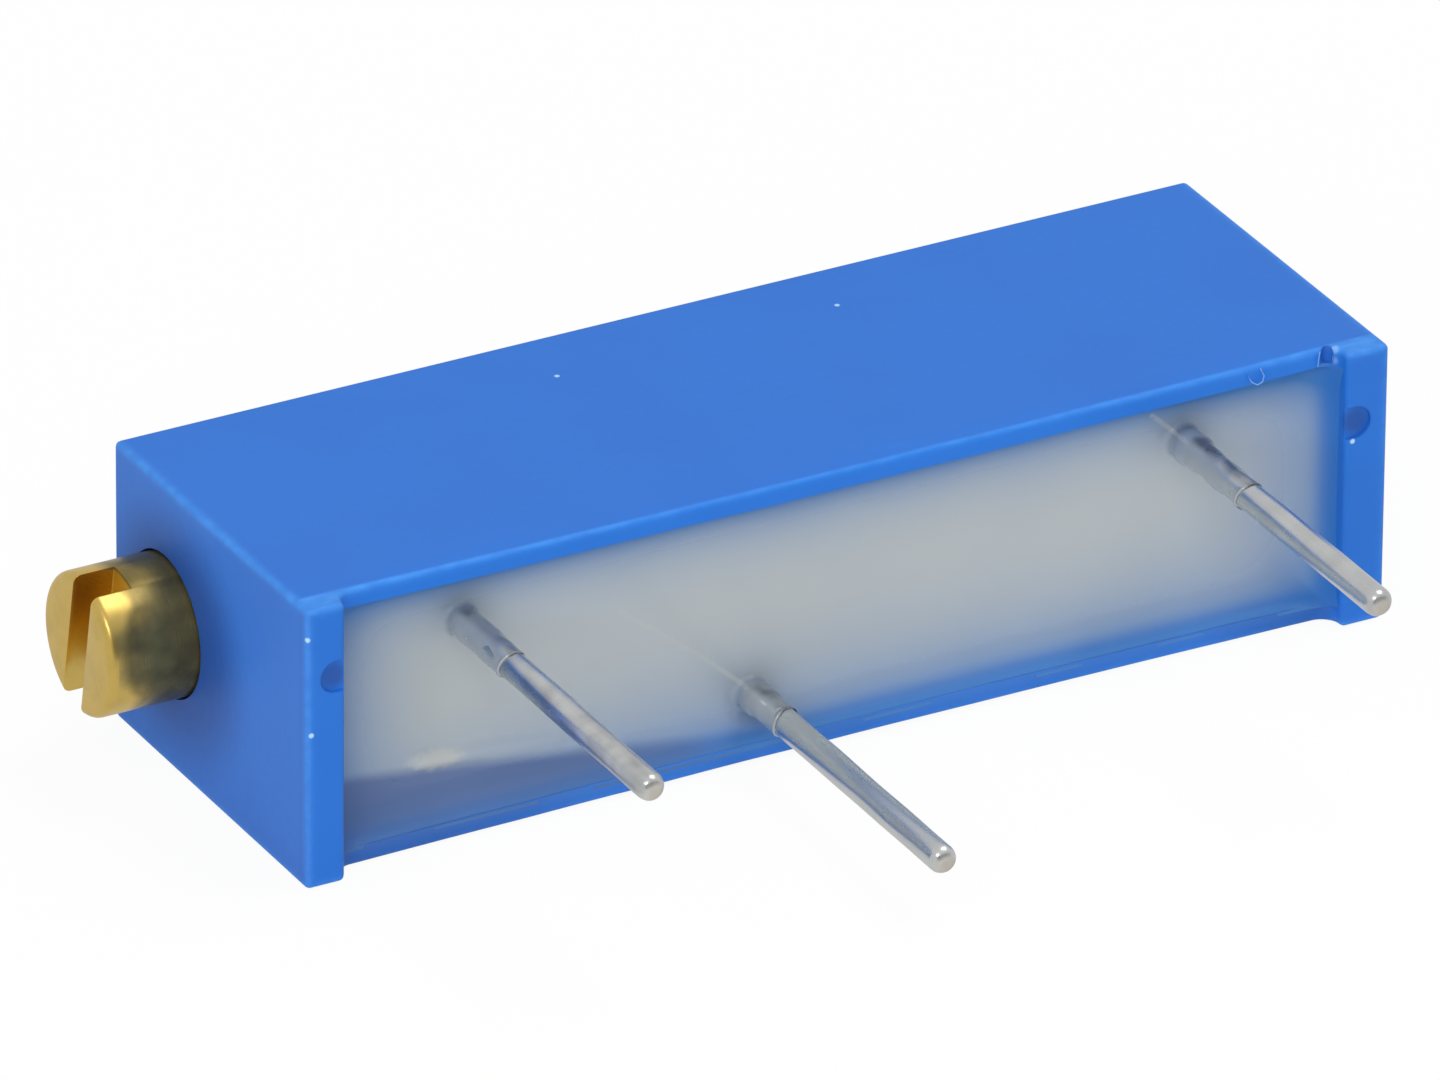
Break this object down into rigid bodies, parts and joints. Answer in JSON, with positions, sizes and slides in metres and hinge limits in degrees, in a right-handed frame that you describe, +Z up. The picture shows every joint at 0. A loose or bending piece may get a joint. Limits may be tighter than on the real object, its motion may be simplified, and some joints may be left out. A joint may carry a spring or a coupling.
{
  "type": "trimmer potentiometer",
  "caption": "Rectangular multi-turn trimmer potentiometer with a slotted screw at one end and staggered wire pins that stand out of an epoxy-filled open side.",
  "frame": {"origin": "on the long side that it rests on, in the middle of the body's length and of its height from feet to back", "axes": "+X from the adjusting screw's head to the far end, -Y the way that the feet and pins point, +Z up from the side that it rests on"},
  "size_m": [0.0205, 0.0119, 0.0048],
  "materials": {
    "housing_plastic": "satin",
    "screw_brass": "satin",
    "seal_rubber": "matte",
    "fork_steel": "satin",
    "slider_plastic": "matte",
    "spring_alloy": "gloss",
    "white_ceramic": "matte",
    "resistive_film": "satin",
    "metal_film": "satin",
    "tinned_wire": "satin",
    "solder": "gloss",
    "epoxy": "gloss"
  },
  "bodies": {
    "base": {"housing": "housing_plastic", "retaining_fork": "fork_steel", "ceramic_strip": "white_ceramic", "resistive_track": "resistive_film", "collector_track": "metal_film", "end_pad_1": "metal_film", "end_pad_3": "metal_film", "terminal_pin_1": "tinned_wire", "terminal_pin_2": "tinned_wire", "terminal_pin_3": "tinned_wire", "solder_joint_1": "solder", "solder_joint_2": "solder", "solder_joint_3": "solder", "epoxy_fill": "epoxy"},
    "adjuster": {"adjusting_screw": "screw_brass", "shaft_seal": "seal_rubber"},
    "slider_assembly": {"slider": "slider_plastic", "contact_spring": "spring_alloy"}
  },
  "joints": [
    {"name": "screw_turn", "type": "hinge", "parent": "base", "child": "adjuster", "pos_m": [0, 0.0015, 0.00242], "axis": [1, 0, 0], "range_deg": [-2701, 2701]},
    {"name": "slider_travel", "type": "slide", "parent": "base", "child": "slider_assembly", "axis": [1, 0, 0], "range_m": [-0.00562, 0.00562]}
  ],
  "couplings": [
    {"joint": "screw_turn", "follows": "slider_travel", "rad_per_m": -8377.6}
  ]
}
